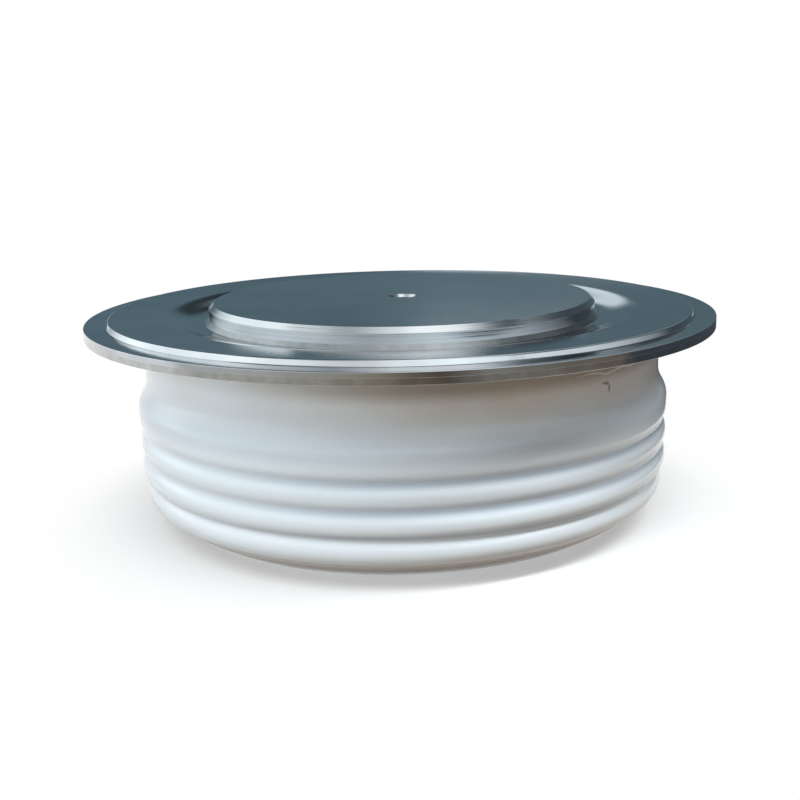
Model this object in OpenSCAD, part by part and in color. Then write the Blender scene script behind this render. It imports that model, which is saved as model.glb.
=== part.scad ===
// Disc thyristor: a ceramic capsule clamped between two contact faces.
// Frame: +Z up, origin at the centre of the lower (anode) contact face.
// The gate tube leaves the ceramic neck towards +Y. All sizes in millimetres.

/* [Housing] */
// overall height between the two contact faces
height = 26; // [24:0.5:30]
// outside diameter of the welded rim
rim_d = 75; // [72:0.5:84]
// diameter of each flat contact face
contact_d = 45.5; // [42:0.5:48]
// bevel around each contact face
pole_bevel = 0.6; // [0.3:0.05:0.6]
// width of the ledge on each pole that its flange is brazed to
pole_ledge = 1.5; // [1.2:0.05:1.8]
// height of the cathode contact face above the lid
cathode_rise = 1.1; // [1:0.05:1.5]
// height of the ceramic foot above the anode contact face
foot_rise = 1.1; // [1:0.05:1.5]
// diameter of the centring hole in each contact face
centre_d = 3.5; // [3:0.1:4]
// depth of each centring hole
centre_depth = 2.2; // [1.6:0.1:2.4]

/* [Lid] */
// thickness of the lid sheet
lid_t = 0.55; // [0.5:0.05:0.6]
// depth of the flexing trough around the cathode pole
trough_depth = 1.15; // [0.9:0.05:1.2]
// width of the flexing trough at the level of the lid
trough_w = 4.1; // [3.6:0.1:4.4]
// width of the sloping outer wall of the trough
trough_slope = 0.8; // [0.5:0.05:1.1]
// width of the lowered rim outside the flat of the lid
rim_w = 2.6; // [2.2:0.1:3]
// depth of the lowered rim below the flat of the lid
channel_depth = 0.55; // [0.5:0.05:0.6]
// rounding of the upper edge of the rim
rim_turn = 0.3; // [0.2:0.05:0.4]
// thickness of the weld flange under the lid
weld_t = 0.7; // [0.65:0.05:0.8]
// width of the weld flange on the end of the ceramic
weld_lap = 2.65; // [2.2:0.05:2.8]
// thickness of the base flange under the ceramic
base_t = 0.35; // [0.3:0.05:0.45]
// how far the base flange reaches under the ceramic
base_lap = 0.75; // [0.6:0.05:0.9]
// leg of the fillets of braze
fillet = 0.5; // [0.3:0.05:0.5]

/* [Ceramic] */
// height of the smooth neck
neck_h = 6.3; // [5.8:0.05:6.6]
// wall of the ceramic at its smooth neck
neck_wall = 4.35; // [4:0.05:4.6]
// how far the ribs stand out beyond the neck
rib_step = 1.1; // [0.9:0.05:1.3]
// height of the wide band below the neck
upper_band = 4.8; // [4.5:0.05:5.1]
// height of the rounded band at the foot
lower_band = 4.9; // [4.6:0.05:5.2]
// depth of the grooves
groove_depth = 0.45; // [0.3:0.05:0.6]
// radius of the ribs
rib_turn = 1.8; // [1.6:0.05:2]
// radius of the shoulder between band and neck
shoulder_turn = 2.4; // [2:0.05:2.6]
// radius of the rounded foot
foot_turn = 7; // [6.6:0.05:7.4]
// part of the foot's round that is ground off for the base flange
foot_cut = 0.6; // [0.5:0.05:0.7]
// how far the lowest groove and rib stand back on the foot's round
foot_back = 0.5; // [0.4:0.05:0.6]
// height from the lowest groove down to the lowest rib
last_pitch = 1.2; // [1:0.05:1.4]

/* [Stack] */
// height of the cathode pole
cathode_h = 10.8; // [10.5:0.1:11.4]
// thickness of the carrier disc under the wafer
carrier_t = 2.4; // [2:0.1:2.6]
// thickness of the silicon wafer
wafer_t = 0.8; // [0.6:0.1:1]
// width of the bevel on the edge of the wafer
wafer_bevel = 0.8; // [0.5:0.05:1]
// thickness of the buffer disc above the wafer
buffer_t = 2; // [1.5:0.1:2.2]
// height of the silicone seal above the wafer
seal_h = 0.7; // [0.5:0.05:0.9]
// wall of the locating ring around the stack
ring_wall = 1.4; // [1.2:0.1:1.8]
// length of the locating ring on the anode pole
ring_low = 2.5; // [2:0.1:3]
// length of the locating ring on the cathode pole
ring_high = 1.8; // [1.4:0.1:2]

/* [Gate] */
// outside diameter of the gate tube
tube_d = 3; // [2.8:0.1:3.4]
// wall of the gate tube
tube_wall = 0.5; // [0.4:0.05:0.55]
// reach of the gate tube beyond the neck
tube_reach = 3.6; // [2:0.1:4.5]
// width of the collar on the gate tube
collar_w = 0.9; // [0.6:0.05:1]
// thickness of the collar on the gate tube
collar_t = 0.6; // [0.4:0.05:0.65]
// depth of the spot face in the neck
spot_depth = 0.65; // [0.65:0.05:0.9]
// length of the solder plug in the end of the tube
plug_l = 1.2; // [0.8:0.1:1.6]
// diameter of the gate contact pin
pin_d = 2.4; // [2:0.1:2.8]
// width of the head on the pin
head_w = 1.1; // [0.9:0.05:1.2]
// height of the head on the pin
head_h = 1.2; // [1:0.05:1.3]
// height of each disc spring
spring_h = 0.6; // [0.5:0.05:0.65]
// thickness of each disc spring
spring_t = 0.3; // [0.2:0.05:0.35]
// wall of the insulating cup
cup_wall = 1.4; // [1:0.1:1.6]
// thickness of the roof of the insulating cup
roof_t = 0.8; // [0.6:0.05:0.9]
// diameter of the gate lead
lead_d = 0.8; // [0.6:0.05:0.9]
// wall of the sleeve on the gate lead
sleeve_wall = 0.5; // [0.4:0.05:0.5]

/* [Hidden] */
$fn = 96;

// clearances, and the overrun of cuts
slip = 0.1;
stack_gap = 0.2;
ring_gap = 0.3;
overrun = 1;

// radii, from the contact faces outwards
contact_r = contact_d / 2;
pole_r = contact_r + pole_bevel;
body_r = pole_r + pole_ledge;
ring_in = body_r + slip;
bore_r = ring_in + ring_wall + ring_gap;
neck_r = bore_r + neck_wall;
rib_r = neck_r + rib_step;
groove_r = rib_r - groove_depth;
foot_r = rib_r - foot_turn;
trough_r = pole_r + trough_w;
rim_r = rim_d / 2;
flat_r = rim_r - rim_w;
weld_in = neck_r - weld_lap;

// radii of the stack
carrier_r = body_r - stack_gap;
wafer_r = carrier_r - 2 * stack_gap;
face_r = wafer_r - wafer_bevel;
seal_in = face_r - wafer_bevel;
buffer_r = seal_in - 2 * stack_gap;

// levels of lid and ceramic, from the cathode contact face downwards
lid_z = height - cathode_rise;
channel_z = lid_z - channel_depth;
weld_z = channel_z - lid_t;
neck_z = weld_z - weld_t;
floor_z = lid_z - trough_depth;
ledge_z = floor_z - lid_t;
shoulder_z = neck_z - neck_h;
groove_high = shoulder_z - upper_band;
groove_low = foot_rise + lower_band;
rib_pitch = (groove_high - groove_low) / 2;

// bevel of the anode contact face and fillet above it, within the height that the pole stands out
base_leg = min(fillet, 0.4 * (foot_rise - base_t));
anode_bevel = foot_rise - base_t - base_leg;

// levels of the stack, from the cathode pole downwards
cathode_z = height - cathode_h;
buffer_z = cathode_z - buffer_t;
wafer_z = buffer_z - wafer_t;
carrier_z = wafer_z - carrier_t;
seat_z = carrier_z - ring_low;

// gate contact, on the level of the middle of the neck
gate_z = (shoulder_z + neck_z) / 2;
pin_r = pin_d / 2;
lead_r = lead_d / 2;
sleeve_r = lead_r + sleeve_wall;
tube_r = tube_d / 2;
tube_in = tube_r - tube_wall;
tube_end = neck_r + tube_reach;
head_r = pin_r + head_w;
head_top = gate_z + head_h / 2;
guide_r = 0.6 * pin_r;
cup_in = head_r + ring_gap;
cup_r = cup_in + cup_wall;
cup_roof = head_top + 2 * spring_h;
cup_top = cup_roof + roof_t;

// slot for the sleeved lead, open downwards, from the axis to the given radius
module lead_slot(reach) {
  translate([-sleeve_r - slip, 0, cathode_z - overrun])
    cube([2 * (sleeve_r + slip), reach, gate_z + sleeve_r + slip - cathode_z + overrun]);
}

// things that lie along the gate lead: z of the child runs along +Y from the given place
module along_lead(start) {
  translate([0, start, gate_z])
    rotate([-90, 0, 0])
      children();
}

// upper pole: contact face, bevel, ledge for the lid and a pocket for the gate contact
module cathode_pole() {
  color([0.72, 0.72, 0.70])
  difference() {
    rotate_extrude()
      polygon([[0, cathode_z], [body_r - fillet, cathode_z], [body_r, cathode_z + fillet],
        [body_r, ledge_z], [pole_r, ledge_z], [pole_r, height - pole_bevel],
        [contact_r, height], [0, height]]);
    translate([0, 0, height - centre_depth])
      cylinder(d = centre_d, h = centre_depth + overrun);
    translate([0, 0, cathode_z - overrun])
      cylinder(r = cup_r + slip, h = cup_top - cathode_z + overrun);
    lead_slot(body_r + overrun);
  }
}

// formed sheet: trough floor, raised flat, rounded shoulder and lowered flat rim
module lid_flange() {
  ease = trough_depth / 7;
  lean = 0.7 * lid_t;
  color([0.66, 0.68, 0.68])
  rotate_extrude() {
    polygon([[pole_r, ledge_z], [trough_r - trough_slope + lean, ledge_z],
      [trough_r + lean, lid_z - lid_t], [flat_r - 2 * lid_t - channel_depth, lid_z - lid_t],
      [flat_r - 2 * lid_t, weld_z], [rim_r, weld_z], [rim_r, channel_z - rim_turn],
      [rim_r - rim_turn, channel_z - rim_turn], [rim_r - rim_turn, channel_z], [flat_r - channel_depth, channel_z], [flat_r - channel_depth, lid_z],
      [trough_r + ease, lid_z], [trough_r - ease, lid_z - ease], [trough_r - trough_slope, floor_z + ease],
      [trough_r - trough_slope - 2 * ease, floor_z], [pole_r, floor_z]]);
    intersection() {
      translate([flat_r - channel_depth, channel_z])
        circle(r = channel_depth);
      translate([flat_r - channel_depth - slip, channel_z - slip])
        square([channel_depth + overrun, channel_depth + overrun]);
    }
    intersection() {
      translate([rim_r - rim_turn, channel_z - rim_turn])
        circle(r = rim_turn);
      translate([rim_r - rim_turn - slip, channel_z - rim_turn - slip])
        square([rim_turn + overrun, rim_turn + overrun]);
    }
  }
}

// fillet of braze where the lid meets the cathode pole
module lid_braze() {
  color([0.78, 0.77, 0.72])
  rotate_extrude()
    polygon([[pole_r, floor_z], [pole_r + fillet, floor_z], [pole_r, floor_z + fillet]]);
}

// flat sheet ring brazed on the ceramic and cold-welded to the lid along the rim
module weld_flange() {
  edge = 0.7 * weld_t;
  color([0.60, 0.60, 0.58])
  rotate_extrude() {
    translate([weld_in, neck_z])
      square([rim_r - edge - weld_in, weld_t]);
    translate([rim_r - edge - slip, neck_z + edge])
      square([edge + slip, weld_t - edge]);
    intersection() {
      translate([rim_r - edge, neck_z + edge])
        circle(r = edge);
      translate([rim_r - edge - slip, neck_z - overrun])
        square([edge + overrun, edge + overrun + slip / 2]);
    }
  }
}

// fillet of braze where the weld flange meets the neck
module neck_braze() {
  color([0.78, 0.74, 0.66])
  rotate_extrude()
    polygon([[neck_r, neck_z - fillet], [neck_r + fillet, neck_z], [neck_r, neck_z]]);
}

// section of the glazed ring: foot, ribs, shoulder and neck
module ceramic_section() {
  turn_z = shoulder_z - sqrt(pow(shoulder_turn, 2) - pow(shoulder_turn - rib_step, 2));
  foot_z = foot_rise - foot_cut + foot_turn;
  rib_z = groove_low - last_pitch;
  full_z = groove_low + rib_pitch / 2;
  band_z = groove_high + rib_pitch / 2;
  translate([bore_r, rib_z])
    square([neck_r - bore_r, neck_z - rib_z]);
  translate([bore_r, rib_z])
    square([groove_r - foot_back - bore_r, turn_z - rib_z]);
  translate([bore_r, full_z])
    square([groove_r - bore_r, turn_z - full_z]);
  intersection() {
    translate([foot_r, foot_z])
      circle(r = foot_turn);
    translate([bore_r, foot_rise])
      square([rib_r - bore_r + overrun, rib_z - foot_rise + slip]);
  }
  translate([rib_r - foot_back - rib_turn, rib_z])
    circle(r = rib_turn);
  for (i = [0 : 2])
    translate([rib_r - rib_turn, full_z + i * rib_pitch])
      circle(r = rib_turn);
  translate([bore_r, band_z])
    square([rib_r - bore_r, max(turn_z - band_z, slip)]);
  translate([rib_r - shoulder_turn, turn_z])
    circle(r = shoulder_turn);
}

// glazed alumina ring with the hole and spot face of the gate tube at the back
module ceramic_ring() {
  color([0.90, 0.92, 0.94])
  difference() {
    rotate_extrude()
      ceramic_section();
    along_lead(0)
      cylinder(r = tube_r, h = rib_r + overrun);
    along_lead(neck_r - spot_depth)
      cylinder(r = tube_r + collar_w + slip, h = spot_depth + rib_step + overrun);
  }
}

// flat sheet ring brazed under the ceramic foot
module base_flange() {
  color([0.60, 0.60, 0.58])
  rotate_extrude()
    translate([pole_r, foot_rise - base_t])
      square([bore_r + base_lap - pole_r, base_t]);
}

// fillet of braze where the base flange meets the anode pole
module base_braze() {
  color([0.78, 0.77, 0.72])
  rotate_extrude()
    polygon([[pole_r, anode_bevel], [pole_r + base_leg, foot_rise - base_t],
      [pole_r, foot_rise - base_t]]);
}

// lower pole: contact face with its centring hole, ledge on the base flange, seat of the locating ring
module anode_pole() {
  seat_r = ring_in + ring_wall / 2;
  color([0.72, 0.72, 0.70])
  difference() {
    rotate_extrude()
      polygon([[0, 0], [pole_r - anode_bevel, 0], [pole_r, anode_bevel], [pole_r, foot_rise], [seat_r, foot_rise],
        [seat_r, seat_z], [body_r, seat_z], [body_r, carrier_z - fillet], [body_r - fillet, carrier_z],
        [0, carrier_z]]);
    translate([0, 0, -overrun])
      cylinder(d = centre_d, h = centre_depth + overrun);
  }
}

// molybdenum disc that carries the wafer
module anode_carrier() {
  color([0.45, 0.46, 0.48])
  translate([0, 0, carrier_z])
    cylinder(r = carrier_r, h = carrier_t);
}

// silicon wafer with a bevelled edge
module wafer() {
  color([0.25, 0.26, 0.30])
  translate([0, 0, wafer_z])
    cylinder(r1 = wafer_r, r2 = face_r, h = wafer_t);
}

// silicone moulded over the bevelled edge of the wafer
module edge_seal() {
  color([0.80, 0.42, 0.30])
  rotate_extrude()
    polygon([[wafer_r, wafer_z], [carrier_r, wafer_z], [carrier_r, buffer_z + seal_h / 2],
      [carrier_r - seal_h / 2, buffer_z + seal_h], [seal_in, buffer_z + seal_h], [seal_in, buffer_z],
      [face_r, buffer_z]]);
}

// molybdenum disc between wafer and cathode pole, open in the middle for the gate pin
module cathode_buffer() {
  color([0.45, 0.46, 0.48])
  difference() {
    translate([0, 0, buffer_z])
      cylinder(r = buffer_r, h = buffer_t);
    translate([0, 0, buffer_z - overrun])
      cylinder(r = head_r, h = buffer_t + 2 * overrun);
  }
}

// plastic ring that holds both poles and the stack on one axis
module locating_ring() {
  tall = cathode_z + ring_high - seat_z;
  color([0.85, 0.85, 0.80])
  difference() {
    translate([0, 0, seat_z])
      cylinder(r = ring_in + ring_wall, h = tall);
    translate([0, 0, seat_z - overrun])
      cylinder(r = ring_in, h = tall + 2 * overrun);
  }
}

// gate contact pin with a head, a spring guide and a cross hole for the lead
module gate_pin() {
  color([0.80, 0.80, 0.82])
  difference() {
    union() {
      translate([0, 0, buffer_z])
        cylinder(r = pin_r, h = gate_z - buffer_z);
      translate([0, 0, gate_z - head_h / 2])
        cylinder(r = head_r, h = head_h);
      translate([0, 0, gate_z])
        cylinder(r = guide_r, h = head_top + 1.5 * spring_h - gate_z);
    }
    along_lead(pin_r)
      cylinder(r = lead_r, h = head_w + overrun);
  }
}

// section of a disc spring that stands on its inner edge
module spring_section() {
  inner = guide_r + slip;
  outer = head_r + slip;
  land = spring_t + slip / 2;
  polygon([[inner, 0], [inner + land, 0], [outer, spring_h - spring_t], [outer, spring_h],
    [outer - land, spring_h], [inner, spring_t]]);
}

// disc spring on the head of the gate pin
module gate_spring_lower() {
  color([0.62, 0.63, 0.66])
  translate([0, 0, head_top])
    rotate_extrude()
      spring_section();
}

// disc spring under the roof of the gate cup
module gate_spring_upper() {
  color([0.62, 0.63, 0.66])
  translate([0, 0, cup_roof])
    mirror([0, 0, 1])
      rotate_extrude()
        spring_section();
}

// insulating cup around the gate contact, slotted for the lead
module gate_cup() {
  cup_z = cathode_z + ring_gap;
  color([0.92, 0.92, 0.90])
  difference() {
    translate([0, 0, cup_z])
      cylinder(r = cup_r, h = cup_top - cup_z);
    translate([0, 0, cup_z - overrun])
      cylinder(r = cup_in, h = cup_roof - cup_z + overrun);
    lead_slot(cup_r + overrun);
  }
}

// wire from the gate pin to the sealed end of the gate tube
module gate_lead() {
  color([0.85, 0.85, 0.86])
  along_lead(pin_r)
    cylinder(r = lead_r, h = tube_end - pin_r);
}

// insulating sleeve on the wire between pin and tube
module lead_sleeve() {
  start = head_r + ring_gap;
  reach = bore_r + spot_depth - start;
  color([0.93, 0.93, 0.90])
  along_lead(start)
    difference() {
      cylinder(r = sleeve_r, h = reach);
      translate([0, 0, -overrun])
        cylinder(r = lead_r, h = reach + 2 * overrun);
    }
}

// tube brazed through the ceramic, with a collar on its spot face
module gate_tube() {
  start = bore_r - ring_gap;
  reach = tube_end - start;
  color([0.66, 0.66, 0.64])
  difference() {
    union() {
      along_lead(start)
        cylinder(r = tube_r, h = reach);
      along_lead(neck_r - spot_depth)
        cylinder(r = tube_r + collar_w, h = collar_t);
    }
    along_lead(start - overrun)
      cylinder(r = tube_in, h = reach + 2 * overrun);
  }
}

// solder that seals the outer end of the tube around the wire
module gate_plug() {
  color([0.74, 0.74, 0.72])
  along_lead(tube_end - plug_l)
    difference() {
      cylinder(r = tube_in, h = plug_l);
      translate([0, 0, -overrun])
        cylinder(r = lead_r, h = plug_l + 2 * overrun);
    }
}

cathode_pole();
lid_flange();
lid_braze();
weld_flange();
neck_braze();
ceramic_ring();
base_flange();
base_braze();
anode_pole();
anode_carrier();
wafer();
edge_seal();
cathode_buffer();
locating_ring();
gate_pin();
gate_spring_lower();
gate_spring_upper();
gate_cup();
gate_lead();
lead_sleeve();
gate_tube();
gate_plug();
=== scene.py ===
import bpy
import numpy as np
from mathutils import Matrix


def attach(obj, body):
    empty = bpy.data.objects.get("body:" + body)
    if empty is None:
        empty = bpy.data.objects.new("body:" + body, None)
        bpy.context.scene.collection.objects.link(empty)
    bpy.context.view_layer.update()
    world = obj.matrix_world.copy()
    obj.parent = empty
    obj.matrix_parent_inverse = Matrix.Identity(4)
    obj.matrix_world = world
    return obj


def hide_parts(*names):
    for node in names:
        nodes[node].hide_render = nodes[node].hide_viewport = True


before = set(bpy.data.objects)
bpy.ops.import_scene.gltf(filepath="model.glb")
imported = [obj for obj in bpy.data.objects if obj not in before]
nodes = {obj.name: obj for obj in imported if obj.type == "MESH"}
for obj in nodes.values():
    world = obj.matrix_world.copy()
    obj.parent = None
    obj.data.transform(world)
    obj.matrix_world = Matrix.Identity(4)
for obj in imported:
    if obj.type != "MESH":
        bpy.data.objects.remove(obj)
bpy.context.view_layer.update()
mm = 0.001
print("stage: frame loaded")


def linear(code):  # sRGB hex to linear RGBA
    c = np.array([int(code[i:i + 2], 16) for i in (1, 3, 5)]) / 255
    c = np.where(c <= 0.04045, c / 12.92, ((c + 0.055) / 1.055) ** 2.4)
    return (*c.tolist(), 1.0)


def add(tree, kind, inputs=(), out=0, **settings):
    # one node with its settings and links; inputs are values or sockets, in order or by name, one output returns
    node = tree.nodes.new("ShaderNode" + kind)
    for key, value in settings.items():
        setattr(node, key, value)
    for key, value in (inputs.items() if isinstance(inputs, dict) else enumerate(inputs)):
        if isinstance(value, bpy.types.NodeSocket):
            tree.links.new(value, node.inputs[key])
        else:
            node.inputs[key].default_value = value
    return node.outputs[out]


def newMaterial(name, **constants):  # node tree with a Principled shader, constants on its own sockets
    material = bpy.data.materials.new(name)
    material.use_nodes = True
    tree = material.node_tree
    shader = tree.nodes["Principled BSDF"]
    for key, value in constants.items():
        shader.inputs[key.replace("_", " ")].default_value = value
    return material, tree, shader


def place(tree):  # object coordinates in mm: the whole vector, its three parts and the distance from the axis
    metres = add(tree, "TexCoord", out="Object")
    inMm = add(tree, "VectorMath", (metres, (1000, 1000, 1000)), operation="MULTIPLY")
    flat = add(tree, "VectorMath", (inMm, (1, 1, 0)), operation="MULTIPLY")
    where = dict(zip("xyz", add(tree, "SeparateXYZ", (inMm,)).node.outputs))
    where["mm"] = inMm
    where["radius"] = add(tree, "VectorMath", (flat,), "Value", operation="LENGTH")
    return where


def tint(tree, colour, code, limits):
    # colour goes towards code by a product of smooth steps
    # a limit says along what it runs, from, to, and the share at both ends
    share = 1.0
    for along, start, end, first, last in limits:
        step = add(tree, "MapRange", (along, start, end, first, last), interpolation_type="SMOOTHSTEP")
        share = add(tree, "Math", (step, share), operation="MULTIPLY")
    return add(tree, "Mix", {0: share, 6: colour, 7: linear(code)}, 2, data_type="RGBA")


def dress(tree, shader, colour, gloss, relief):
    # base colour, roughness = grain * span + least, and relief = height * depth in mm
    grain, span, least = gloss
    height, depth, strength = relief
    rough = add(tree, "Math", (grain, span, least), operation="MULTIPLY_ADD")
    normal = add(tree, "Bump", {"Height": height, "Distance": depth * mm, "Strength": strength})
    for key, socket in (("Base Color", colour), ("Roughness", rough), ("Normal", normal)):
        tree.links.new(socket, shader.inputs[key])


softMix = {"Detail": 2.0, "Roughness": 0.5}  # noise for clouds and waves
fineMix = {"Detail": 3.0, "Roughness": 0.6}  # noise for grain and tool marks


def turnedNickel():  # nickel-plated copper, turned: fine lines round the wall, a lapped grey face with a soft sheen
    # sizes in mm; real tool marks and grit are finer, these are as coarse as they need to show
    spec = {"base": "#c6cbce", "dark": "#b6bcbf", "wallLines": 0.2941, "faceRings": 0.4545, "grit": 0.1111,
            "cloud": 8.333, "depth": 0.022}
    material, tree, shader = newMaterial("nickel_plated_turned", Metallic=1.0)
    where = place(tree)
    wall = add(tree, "TexNoise", {"W": where["z"], "Scale": 1 / spec["wallLines"], **fineMix},
               noise_dimensions="1D")
    face = add(tree, "TexNoise", {"W": where["radius"], "Scale": 1 / spec["faceRings"], **fineMix},
               noise_dimensions="1D")
    grain = add(tree, "TexNoise", {"Vector": where["mm"], "Scale": 1 / spec["grit"], **fineMix})
    cloud = add(tree, "TexNoise", {"Vector": where["mm"], "Scale": 1 / spec["cloud"], **softMix})
    lines = add(tree, "Math", (face, 0.25, wall), operation="MULTIPLY_ADD")
    height = add(tree, "Math", (grain, 0.25, lines), operation="MULTIPLY_ADD")
    streak = add(tree, "Math", (wall, 0.3), operation="MULTIPLY")
    tone = add(tree, "Math", (cloud, 0.7, streak), operation="MULTIPLY_ADD")
    colour = tint(tree, linear(spec["dark"]), spec["base"], [(tone, 0.3, 0.7, 0.0, 1.0)])
    dress(tree, shader, colour, (grain, 0.08, 0.09), (height, spec["depth"], 1.0))
    return material


def sheetNickel():  # nickel-plated sheet, pressed: brighter and smoother than the poles, faintly cloudy
    # sizes in mm, the grit again coarser than it is
    spec = {"base": "#c8cdd0", "dark": "#babfc3", "cloud": 6.25, "grit": 0.1429, "depth": 0.004}
    material, tree, shader = newMaterial("nickel_plated_sheet", Metallic=1.0)
    where = place(tree)
    cloud = add(tree, "TexNoise", {"Vector": where["mm"], "Scale": 1 / spec["cloud"], **softMix})
    grain = add(tree, "TexNoise", {"Vector": where["mm"], "Scale": 1 / spec["grit"], **fineMix})
    colour = tint(tree, linear(spec["dark"]), spec["base"], [(cloud, 0.3, 0.7, 0.0, 1.0)])
    dress(tree, shader, colour, (grain, 0.06, 0.05), (grain, spec["depth"], 1.0))
    return material


def glazedAlumina():
    # white glazed ceramic: glossy and cool, with painted shade in the grooves and on the shoulder, painted shade and
    # brown reflection on the neck, below the rim and at the foot, and one small dark mark
    # sizes in mm; a tint is a colour and its limits along x, y, z, the radius, the clouds or the way from the edge
    spec = {
        "white": "#e3ebf1", "cloud": 11.11, "peel": 1.818, "depth": 0.03,
        "edge": {"level": 20.3, "rise": 0.9, "wave": 2.857},  # wavy upper edge of the glaze
        "tints": [
            ("#a9b4c2", [("radius", 31.6, 32.05, 0.8, 0.0), ("z", 13.2, 13.8, 1.0, 0.0),
                         ("z", 5.6, 6.4, 0.0, 1.0), ("x", -27.0, -2.0, 0.2, 1.0)]),  # painted shade in the grooves, fainter on the left where more light falls
            ("#a9b4c2", [("z", 13.1, 14.6, 0.0, 0.27), ("z", 15.5, 18.0, 1.0, 0.0)]),  # painted shade on the shoulder, where the rim's shadow falls
            ("#d9cec0", [("z", 15.0, 20.0, 0.0, 1.0), ("cloud", 0.3, 0.7, 0.4, 0.9),
                         ("x", -20.0, 4.0, 0.3, 1.0)]),  # painted shade and warm reflection on the neck, cloudy and stronger to the right
            ("#97836d", [("z", 19.3, 21.1, 0.0, 0.75), ("x", -20.0, 4.0, 0.3, 1.0)]),  # painted shade and brown reflection below the rim, stronger to the right
            ("#8f745a", [("z", 1.6, 3.3, 0.75, 0.0)]),  # painted brown reflection and shade on the foot's underside
            ("#f2f2ee", [("fromEdge", 0.05, 0.16, 0.5, 0.0), ("x", 17.0, 20.0, 0.0, 1.0),
                         ("y", -17.0, -14.0, 1.0, 0.0)]),  # line of the edge, at the right front
        ],
        "mark": "#5c4d46",
        "spots": [((20.85, -22.94, 19.6), (0.5, 0.5, 0.14)), ((21.22, -22.6, 19.5), (0.3, 0.3, 0.24)),
                  ((21.45, -22.38, 18.95), (0.2, 0.2, 0.5))],  # centre and half size of the mark's three strokes
    }
    material, tree, shader = newMaterial("alumina_glazed", IOR=1.52)
    where = place(tree)
    edge = spec["edge"]
    where["cloud"] = add(tree, "TexNoise", {"Vector": where["mm"], "Scale": 1 / spec["cloud"], **softMix})
    wave = add(tree, "TexNoise", {"Vector": where["mm"], "Scale": 1 / edge["wave"], **softMix})
    line = add(tree, "Math", (wave, edge["rise"], edge["level"]), operation="MULTIPLY_ADD")
    above = add(tree, "Math", (where["z"], line), operation="SUBTRACT")
    where["fromEdge"] = add(tree, "Math", (above,), operation="ABSOLUTE")
    colour = linear(spec["white"])
    for code, limits in spec["tints"]:
        colour = tint(tree, colour, code, [(where[along], *steps) for along, *steps in limits])
    for centre, size in spec["spots"]:
        off = add(tree, "VectorMath", (where["mm"], centre), operation="SUBTRACT")
        off = add(tree, "VectorMath", (off, size), operation="DIVIDE")
        away = add(tree, "VectorMath", (off,), "Value", operation="LENGTH")
        colour = tint(tree, colour, spec["mark"], [(away, 0.3, 1.3, 0.7, 0.0)])
    peel = add(tree, "TexNoise", {"Vector": where["mm"], "Scale": 1 / spec["peel"], "Detail": 2.0,
                                  "Roughness": 0.4})
    dress(tree, shader, colour, (peel, 0.08, 0.09), (peel, spec["depth"], 0.6))
    return material


def plain(name, base, dark, rough, metallic=0.0, depth=0.012):  # quiet finish of a piece that is mostly hidden
    spec = {"cloud": 1.6667, "grit": 0.125}  # sizes in mm
    material, tree, shader = newMaterial(name, Metallic=metallic)
    where = place(tree)
    cloud = add(tree, "TexNoise", {"Vector": where["mm"], "Scale": 1 / spec["cloud"], "Detail": 3.0,
                                   "Roughness": 0.55})
    grain = add(tree, "TexNoise", {"Vector": where["mm"], "Scale": 1 / spec["grit"], **fineMix})
    colour = tint(tree, linear(dark), base, [(cloud, 0.3, 0.7, 0.0, 1.0)])
    dress(tree, shader, colour, (grain, 0.15, rough - 0.07), (grain, depth, 1.0))
    return material


finishes = {
    "nickel_pole": turnedNickel(),
    "nickel_lid": sheetNickel(),
    "glaze": glazedAlumina(),
    "nickel_flange": plain("nickel_plated_flange", "#c2c4c3", "#b1b3b2", 0.14, 1.0, 0.002),  # smooth grey sheet
    "braze": plain("nickel_plated_braze", "#9ea3a5", "#8d9294", 0.3, 1.0, 0.002),  # dull silvery fillet
    "molybdenum": plain("molybdenum_sawn", "#8a8d90", "#777a7e", 0.42, 1.0),  # dark grey and matt
    "silicon": plain("silicon_lapped", "#5a5d66", "#4a4d57", 0.30, 0.6),  # bluish dark grey
    "silicone": plain("silicone_rubber", "#c06b4c", "#ad5c40", 0.55),  # brick red, soft
    "fluoroplastic": plain("fluoroplastic_white", "#e6e4dc", "#d8d5cb", 0.5),  # milky and waxy
    "silver": plain("silver_drawn", "#d3d2cc", "#bebcb5", 0.25, 1.0),  # pale bright wire
    "spring_steel": plain("spring_steel", "#8d8c88", "#7b7a76", 0.3, 1.0),  # mid grey with a sheen
    "tube_nickel": plain("nickel_tube", "#b4b6b3", "#a2a4a1", 0.3, 1.0),  # warm grey, drawn
    "solder": plain("solder_grey", "#b3b5b5", "#9b9d9e", 0.38, 1.0),  # flat light grey
}
for node in nodes.values():
    for slot in node.material_slots:
        slot.material = finishes[slot.material.name]
print("stage: materials")


def outline(corners, steps=9):
    # corners (r, z, turn) of a closed outline become arcs: P = centre - turn (m cos a + e sin a), where m halves
    # the corner, e stands square to it and a goes up to 90 degrees less half the corner
    c = np.array(corners, float)
    p, turn = c[:, :2], c[:, 2:]
    a, b = np.roll(p, 1, 0) - p, np.roll(p, -1, 0) - p
    a, b = a / np.linalg.norm(a, axis=1, keepdims=True), b / np.linalg.norm(b, axis=1, keepdims=True)
    half = np.arccos(np.clip((a * b).sum(1, keepdims=True), -1, 1)) / 2
    m = (a + b) / np.linalg.norm(a + b, axis=1, keepdims=True)
    e = a - (a * m).sum(1, keepdims=True) * m
    e /= np.linalg.norm(e, axis=1, keepdims=True)
    centre = p + m * turn / np.sin(half)
    angle = (np.pi / 2 - half)[:, :, None] * np.linspace(-1, 1, steps)[None, :, None]
    arcs = centre[:, None] - turn[:, None] * (m[:, None] * np.cos(angle) + e[:, None] * np.sin(angle))
    ends = np.roll(arcs[:, 0], -1, 0) - arcs[:, -1]
    share = np.array([0.03, 0.2, 0.4, 0.6, 0.8, 0.97])[None, :, None]  # points on the straight run to the next arc
    runs = arcs[:, -1:] + share * ends[:, None]
    return np.concatenate((arcs, runs), 1).reshape(-1, 2)


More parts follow.
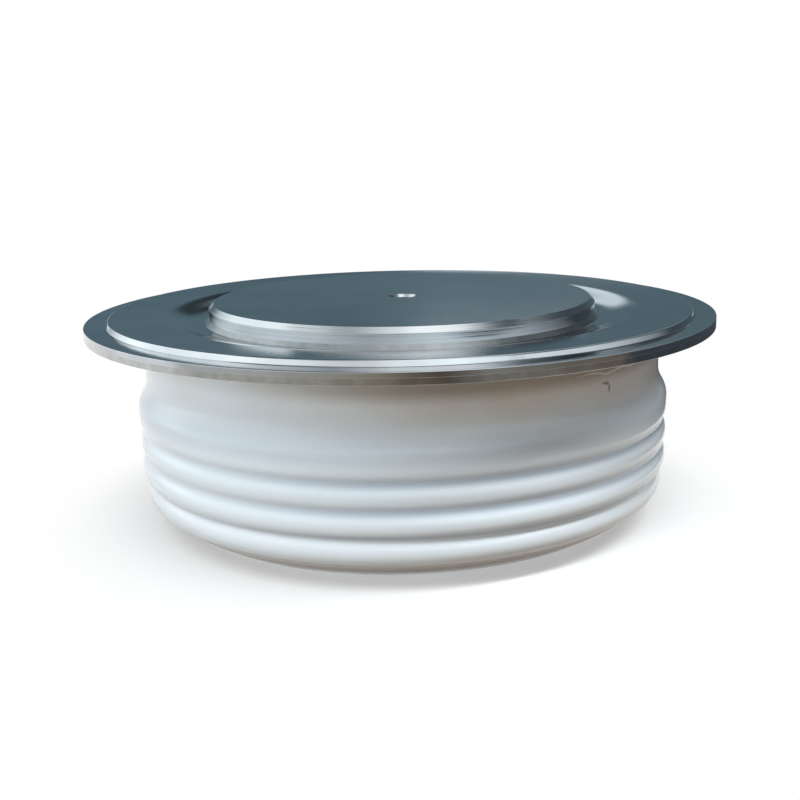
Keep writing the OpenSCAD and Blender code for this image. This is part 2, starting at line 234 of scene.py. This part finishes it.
def spin(name, points, keep=None):  # mesh of a grid of points (along, around, 3) in mm, closed both ways
    rows, columns = points.shape[:2]
    i, j = np.meshgrid(np.arange(rows), np.arange(columns), indexing="ij")
    i2, j2 = (i + 1) % rows, (j + 1) % columns
    quads = np.stack((i * columns + j, i * columns + j2, i2 * columns + j2, i2 * columns + j), -1).reshape(-1, 4)
    if keep is not None:
        quads = quads[keep.reshape(-1)[quads].any(1)]
    mesh = bpy.data.meshes.new(name)
    mesh.vertices.add(rows * columns)
    mesh.vertices.foreach_set("co", (points * mm).reshape(-1).astype(np.float32))
    mesh.loops.add(quads.size)
    mesh.loops.foreach_set("vertex_index", quads.reshape(-1).astype(np.int32))
    mesh.polygons.add(len(quads))
    mesh.polygons.foreach_set("loop_start", np.arange(0, quads.size, 4, dtype=np.int32))
    mesh.polygons.foreach_set("use_smooth", np.ones(len(quads), bool))
    mesh.update(calc_edges=True)
    mesh.validate()
    piece = bpy.data.objects.new(name, mesh)
    bpy.context.scene.collection.objects.link(piece)
    return piece


def lathe(name, spec):
    # P(k, u) = (r cos u, r sin u, z + w): the rounded outline (r, z) spun round the axis
    # w is the wave that a pressed sheet keeps, a sum of sines faded in and out along r
    profile = outline(spec["corners"])
    u = np.linspace(0, 2 * np.pi, spec["around"], endpoint=False)
    r, z = profile[:, :1], profile[:, 1:] + 0 * u
    if "wave" in spec:
        wave = spec["wave"]
        w = sum(size * np.sin(times * u + start) for size, times, start in wave["sines"]) - wave["sink"]
        inner, outer = (r - wave["from"]) / wave["fromFade"], (wave["to"] - r) / wave["toFade"]
        z = z + np.clip(inner, 0, 1) * np.clip(outer, 0, 1) * w
    return spin(name, np.stack((r * np.cos(u), r * np.sin(u), z), -1))


def finishPiece(piece, node, slot):
    piece.data.materials.append(finishes[slot])
    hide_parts(node)
    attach(piece, "root")


# lid sheet: dished by 2.7 degrees towards the pole, with a trough round it
# its flat waves by hundredths of a millimetre
lid = {
    "around": 360,
    "corners": [(23.35, 23.2, 0.05), (25.5, 23.2, 6.2), (28.3, 24.09, 6.2), (33.55, 24.32, 0.3),
                (34.1, 23.8, 0.3), (37.49, 23.8, 0.01), (37.49, 24.36, 0.04), (35.1, 24.36, 0.15),
                (34.78, 24.97, 0.2), (28.1, 24.65, 6.8), (25.35, 23.75, 6.6), (23.35, 23.75, 0.05)],
    "wave": {"sines": [(0.012, 3, 0.7), (0.008, 7, 2.1)], "sink": 0.02,
             "from": 26.6, "fromFade": 3.0, "to": 35.2, "toFade": 1.5},
}
lidSheet = lathe("lidSheet", lid)
finishPiece(lidSheet, "lid_flange", "nickel_lid")

# weld flange: sheet ring with a rounded outer edge
weld = {"around": 360,
        "corners": [(28.35, 23.1, 0.05), (37.49, 23.1, 0.06), (37.49, 23.8, 0.01), (28.35, 23.8, 0.05)]}
weldSheet = lathe("weldSheet", weld)
finishPiece(weldSheet, "weld_flange", "nickel_flange")


def alongGlaze():
    # outer line: foot arc, then r(z) = the largest of neck, groove, rib and shoulder circles, eased along its length
    # by Gaussians, a wider one at the neck, as glaze fills corners
    spec = {"top": 23.1, "neck": 31.0, "groove": 31.65, "rib": 32.1, "ribTurn": 1.8, "ribs": (7.475, 10.425, 13.375),
            "lastRib": 4.5, "lastBack": 0.5, "shoulder": 14.683, "shoulderAxis": 29.7, "shoulderTurn": 2.4,
            "footAxis": (25.1, 7.5), "footTurn": 7.0, "footSweep": (0.4175, 0.8538), "footTop": 2.9,
            "soft": (0.24, 0.85), "softAt": 16.8, "softWidth": 1.6, "step": 0.02}
    shoulder, ribs, turn, step = spec["shoulder"], spec["ribs"], spec["ribTurn"], spec["step"]
    (footR, footZ), footTurn = spec["footAxis"], spec["footTurn"]
    t = np.linspace(*spec["footSweep"], 300)
    foot = np.stack((footR + footTurn * np.sin(t), footZ - footTurn * np.cos(t)), -1)
    z = np.linspace(spec["footTop"], spec["top"], 2600)[1:]
    r = np.where(z < shoulder, spec["groove"], spec["neck"]) - np.where(z < ribs[0], spec["lastBack"], 0.0)
    footArc = footR + np.sqrt(footTurn ** 2 - np.clip(footZ - z, 0, footTurn) ** 2)
    r = np.where(z < spec["lastRib"], footArc, r)
    for level, back in [(spec["lastRib"], spec["lastBack"])] + [(level, 0.0) for level in ribs]:
        ribArc = spec["rib"] - back - turn + np.sqrt(np.clip(turn ** 2 - (z - level) ** 2, 0, None))
        r = np.where(np.abs(z - level) < turn, np.maximum(r, ribArc), r)
    r = np.where((z > ribs[-1]) & (z < shoulder), spec["rib"], r)
    over = np.clip(z - shoulder, 0, None)
    shoulderArc = np.sqrt(np.clip(spec["shoulderTurn"] ** 2 - over ** 2, 0, None)) * (z > shoulder)
    r = np.maximum(r, spec["shoulderAxis"] + shoulderArc)
    line = np.concatenate((foot, np.stack((r, z), -1)))
    s = np.concatenate(([0], np.cumsum(np.linalg.norm(np.diff(line, axis=0), axis=1))))
    even = np.arange(0, s[-1], step)
    line = np.stack((np.interp(even, s, line[:, 0]), np.interp(even, s, line[:, 1])), -1)
    eased = []
    for soft in spec["soft"]:
        reach = int(4 * soft / step)
        kernel = np.exp(-0.5 * (np.arange(-reach, reach + 1) * step / soft) ** 2)
        kernel /= kernel.sum()
        padded = np.pad(line, ((reach, reach), (0, 0)), mode="reflect", reflect_type="odd")
        eased.append(np.stack([np.convolve(padded[:, k], kernel, "valid") for k in (0, 1)], -1))
    share = np.exp(-((line[:, 1:] - spec["softAt"]) / spec["softWidth"]) ** 2)
    return eased[0] + share * (eased[1] - eased[0])


# glazed ring: the line above spun round; near the gate tube y goes to a flat seat by a smooth step of the distance q
# from the tube's axis, and the tube's hole is left open
glaze = {"top": 23.1, "bore": 26.65, "foot": 1.1, "footInner": 27.7, "topInner": 29.6, "topOuter": 30.95,
         "edge": 0.1, "middle": 12.0, "neck": 31.0, "wall": 29.0, "around": 300, "skip": 8,
         "gate": 19.95, "seat": 30.35, "seatReach": 2.64, "seatFade": 0.16, "holeOuter": 2.1, "holeInner": 1.7,
         "holeRows": (1.7, 1.35, 0.65, 0.0, -0.65, -1.35, -1.7), "fineReach": 2.75, "fineStep": 0.07, "fineSkip": 3}
top, bore, low, edge = glaze["top"], glaze["bore"], glaze["foot"], glaze["edge"]
line = alongGlaze()
fine = np.abs(line[:, 1] - glaze["gate"]) < glaze["fineReach"]
pick = np.zeros(len(line), bool)
pick[::glaze["skip"]] = True
pick[fine] = np.arange(fine.sum()) % glaze["fineSkip"] == 0  # closer rows beside the tube
rise = np.array(glaze["holeRows"]) + glaze["gate"]
profile = np.concatenate((
    line[pick], [(glaze["topOuter"], top), (glaze["topInner"], top), (bore + edge, top), (bore, top - edge)],
    np.stack((0 * rise + bore, rise), -1),
    [(bore, glaze["middle"]), (bore, low + edge), (bore + edge, low), (glaze["footInner"], low)]))
side = np.arange(-glaze["fineReach"], glaze["fineReach"] + 0.01, glaze["fineStep"]) / glaze["neck"]
u = np.pi / 2 + np.concatenate((side, np.linspace(side[-1], 2 * np.pi + side[0], glaze["around"])[1:-1]))
r, z = profile[:, :1], np.clip(profile[:, 1:], low, top)
x, y = r * np.cos(u), r * np.sin(u)
q = np.where(y < 0, np.inf, np.hypot(x, z - glaze["gate"]))  # only at the back
step = np.clip((glaze["seatReach"] - q) / glaze["seatFade"], 0, 1)
step = step * step * (3 - 2 * step) * (r > glaze["wall"])
y = y + step * (glaze["seat"] - y)
keep = q > np.where(r > glaze["wall"], glaze["holeOuter"], glaze["holeInner"])
glazedRing = spin("glazedRing", np.stack((x, y, z + 0 * u), -1), keep)
finishPiece(glazedRing, "ceramic_ring", "glaze")

# burnished bevel in the mouth of the centring hole: a small lathe ring
mouth = {"around": 96, "corners": [(1.73, 25.4, 0.02), (1.73, 25.99, 0.02), (1.4, 25.62, 0.05), (1.4, 25.4, 0.02)]}
mouthRing = lathe("mouthRing", mouth)
mouthRing.data.materials.append(finishes["nickel_pole"])
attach(mouthRing, "root")
print("stage: pieces")


def stand(obj, at, right, up, back):  # puts a camera or lamp in its place, looking away from back
    turn = np.eye(4)
    turn[:3, :3] = np.stack((right, up, back), -1)
    turn[:3, 3] = at
    obj.matrix_world = Matrix(turn.tolist())
    bpy.context.scene.collection.objects.link(obj)


def makeCamera():  # the photograph's viewpoint, fitted from its circles
    spec = {"at": (0.0, -0.135, 0.04508), "yaw": 0.0415, "pitch": 0.2353, "roll": 0.0147,
            "lens": 49.80, "shift": -0.0625, "sensor": 36.0, "clip": (0.005, 60.0)}
    yaw, pitch, roll = spec["yaw"], spec["pitch"], spec["roll"]
    forward = np.array((np.sin(yaw) * np.cos(pitch), np.cos(yaw) * np.cos(pitch), -np.sin(pitch)))
    right = np.array((np.cos(yaw), -np.sin(yaw), 0.0))
    up = np.cross(right, forward)
    right, up = np.cos(roll) * right - np.sin(roll) * up, np.sin(roll) * right + np.cos(roll) * up
    data = bpy.data.cameras.new("camera")
    data.sensor_width, data.lens, data.shift_x = spec["sensor"], spec["lens"], spec["shift"]
    data.clip_start, data.clip_end = spec["clip"]
    camera = bpy.data.objects.new("camera", data)
    stand(camera, spec["at"], right, up, -forward)
    bpy.context.scene.camera = camera


def lamp(name, spec):  # soft rectangular studio lamp that gloss doesn't show
    data = bpy.data.lights.new(name, "AREA")
    data.shape, (data.size, data.size_y) = "RECTANGLE", spec["size"]
    data.energy, data.color = spec["power"], spec["colour"]
    obj = bpy.data.objects.new(name, data)
    back = np.array(spec["at"]) - np.array(spec["aim"])
    back /= np.linalg.norm(back)
    side = np.cross((0, 0, 1), back)
    side /= np.linalg.norm(side)
    stand(obj, spec["at"], side, np.cross(back, side), back)
    obj.visible_camera = obj.visible_glossy = False


def staged(name, points, faces, material, glossOnly):  # mesh of the stage, or a part of it that only gloss shows
    mesh = bpy.data.meshes.new(name)
    mesh.from_pydata(points.tolist(), [], faces)
    mesh.materials.append(material)
    obj = bpy.data.objects.new(name, mesh)
    bpy.context.scene.collection.objects.link(obj)
    if glossOnly:
        obj.visible_camera = obj.visible_diffuse = obj.visible_shadow = False


def sheet(name, centre, size, material, glossOnly=True):  # level sheet: P = centre + (s width, t depth, 0)
    s, t = np.meshgrid((-0.5, 0.5), (-0.5, 0.5))
    points = np.array(centre) + np.stack((s * size[0], t * size[1], 0 * s), -1).reshape(-1, 3)
    staged(name, points, [(0, 1, 3, 2)], material, glossOnly)


def surround(name, spec, material):
    # P(a, h) = (R sin a, -R cos a, h), open above, with a gap above the floor on the left
    a, h = np.meshgrid(np.linspace(-np.pi, np.pi, spec["around"] + 1), (spec["gap"], spec["height"]), indexing="ij")
    h[:, 0] *= a[:, 0] < 0
    points = np.stack((spec["radius"] * np.sin(a), -spec["radius"] * np.cos(a), h), -1).reshape(-1, 3)
    k = np.arange(spec["around"]) * 2
    staged(name, points, np.stack((k, k + 2, k + 3, k + 1), -1).tolist(), material, True)


def toneRow(tree, along, reach, row):  # colour along a length from -reach to reach, even between the row's tones
    share = add(tree, "MapRange", (along, -reach, reach))
    colour = add(tree, "ValToRGB", (share,))
    elements = colour.node.color_ramp.elements
    elements.remove(elements[1])
    for k, (at, code) in enumerate(row):
        position = (at / reach + 1) / 2
        element = elements[0] if k == 0 else elements.new(position)
        element.position, element.color = position, linear(code)
    return colour


def glow(tree, shader, colour, strength):  # a light of its own in place of a surface
    tree.nodes.remove(shader)
    light = add(tree, "Emission", {"Color": colour, "Strength": strength})
    tree.links.new(light, tree.nodes["Material Output"].inputs["Surface"])


def cardPaint(name, strength, row):  # glowing card with a row of tones along x in mm
    material, tree, shader = newMaterial(name)
    glow(tree, shader, toneRow(tree, place(tree)["x"], 1000, row), strength)
    return material


def roomPaint(name, spec):  # soft glowing room: a row of tones by degrees from the front, and another row above it
    material, tree, shader = newMaterial(name)
    where = place(tree)
    front = add(tree, "Math", (where["y"], -1.0), operation="MULTIPLY")
    turn = add(tree, "Math", (where["x"], front), operation="ARCTAN2")
    degrees = add(tree, "Math", (turn,), operation="DEGREES")
    low, high = toneRow(tree, degrees, 180, spec["low"]), toneRow(tree, degrees, 180, spec["high"])
    rise = add(tree, "MapRange", (where["z"], *spec["change"]), interpolation_type="SMOOTHSTEP")
    glow(tree, shader, add(tree, "Mix", {0: rise, 6: low, 7: high}, 2, data_type="RGBA"), spec["strength"])
    return material


def seen(tree):  # 1 where the camera, gloss or something clear looks, 0 for light on its way to the object
    path = add(tree, "LightPath").node.outputs
    gloss = add(tree, "Math", (path["Is Glossy Ray"], path["Is Transmission Ray"]), operation="MAXIMUM")
    return add(tree, "Math", (path["Is Camera Ray"], gloss), operation="MAXIMUM")


def floorPaint():  # white paper: lit near the object, where the shadow lies, and background white further out
    # rings in mm from the axis, the white one with its share at both ends
    spec = {"paper": "#f4f5f6", "near": "#84705a", "far": "#9a9fa3", "nearRing": (45.0, 85.0),
            "whiteRing": (26.0, 47.0, 0.35, 1.0)}
    material, tree, shader = newMaterial("white_paper", Roughness=0.9, Specular_IOR_Level=0.0)
    radius, look = place(tree)["radius"], seen(tree)
    bounce = tint(tree, linear(spec["near"]), spec["far"], [(radius, *spec["nearRing"], 0.0, 1.0)])
    colour = add(tree, "Mix", {0: look, 6: bounce, 7: linear(spec["paper"])}, 2, data_type="RGBA")
    tree.links.new(colour, shader.inputs["Base Color"])
    ring = add(tree, "MapRange", (radius, *spec["whiteRing"]), interpolation_type="SMOOTHSTEP")
    share = add(tree, "Math", (look, ring), operation="MULTIPLY")
    white = add(tree, "Emission", {"Color": (1, 1, 1, 1), "Strength": 1.0})
    mixed = add(tree, "MixShader", (share, shader.outputs[0], white))
    tree.links.new(mixed, tree.nodes["Material Output"].inputs["Surface"])
    return material


def makeWorld():  # even soft light; camera and gloss see the white background
    spec = {"light": "#e9edf0", "strength": 0.22}
    world = bpy.data.worlds.new("studio")
    bpy.context.scene.world = world
    world.use_nodes = True
    tree = world.node_tree
    tree.nodes.clear()
    soft = add(tree, "Background", {"Color": linear(spec["light"]), "Strength": spec["strength"]})
    white = add(tree, "Background", {"Color": (1, 1, 1, 1), "Strength": 1.0})
    mixed = add(tree, "MixShader", (seen(tree), soft, white))
    tree.links.new(mixed, tree.nodes.new("ShaderNodeOutputWorld").inputs["Surface"])


# tones by degrees from the front; the high row takes over between two heights in mm
room = {
    "radius": 0.9, "gap": 0.022, "height": 1.2, "around": 72, "strength": 3.0, "change": (215.0, 275.0),
    "low": [(-180, "#35434a"), (-152, "#35434a"), (-108, "#e0e6ea"), (-80, "#989b9b"), (-45, "#989b9b"),
            (-10, "#707775"), (28, "#8c9092"), (65, "#44494b"), (100, "#24292b"), (140, "#2c363b"),
            (180, "#35434a")],
    "high": [(-180, "#4a555a"), (-177, "#1e2326"), (-155, "#1e2326"), (-135, "#b4babc"), (-60, "#bcbfc0"),
             (-20, "#9c9d9e"), (22, "#c4c9cb"), (85, "#8f9296"), (122, "#2c3236"), (152, "#2c3236"),
             (163, "#8f969b"), (178, "#8f969b"), (180, "#4a555a")],
}
# centre and size in metres, then the paint's name, strength and tones
cards = {
    "ceiling": ((0, 0, 1.2), (1.9, 1.9), "ceiling_slate", 2.4, [(0, "#3e4a50")]),
    "cardTop": ((0, -0.24, 0.75), (1.6, 0.74), "card_white", 1.6,
                [(-700, "#ffffff"), (-250, "#a4aaac"), (50, "#ffffff"), (250, "#ffffff"),
                 (430, "#6a7276"), (600, "#30383b")]),
    "cardTable": ((0, -0.4325, 0.002), (1.6, 0.775), "card_brown", 1.0,
                  [(-130, "#d4d4d2"), (-30, "#a0988a"), (25, "#5c5046"), (62, "#95918a"),
                   (130, "#75695f"), (200, "#464c54")]),
    "cardRight": ((0.425, 0.175, 0.002), (0.75, 0.44), "card_dark", 1.0, [(0, "#464c54")]),
}
lamps = {
    "stripLamp": {"at": (0.16, -0.335, 0.73), "aim": (0, 0, 0.015), "size": (1.6, 0.13),
                  "power": 10.4, "colour": (0.92, 0.98, 1.0)},
    "windowLamp": {"at": (-0.74, -0.26, 0.13), "aim": (0, 0, 0.012), "size": (0.5, 0.26),
                   "power": 2.8, "colour": (0.93, 0.98, 1.0)},
    "fillLamp": {"at": (-0.30, -0.90, 0.17), "aim": (0, 0, 0.012), "size": (1.2, 0.3),
                 "power": 0.95, "colour": (0.95, 0.98, 1.0)},
    "warmLamp": {"at": (0.75, -0.27, 0.10), "aim": (0, 0, 0.02), "size": (0.4, 0.2),
                 "power": 0.36, "colour": (1.0, 0.68, 0.46)},
}
makeCamera()
makeWorld()
sheet("floor", (0, 0, 0), (40, 40), floorPaint(), False)
surround("softRoom", room, roomPaint("soft_room", room))
for name, (centre, size, paint, strength, row) in cards.items():
    sheet(name, centre, size, cardPaint(paint, strength, row))
for name, spec in lamps.items():
    lamp(name, spec)
bpy.context.scene.view_settings.view_transform = "Standard"
print("stage: light and camera")
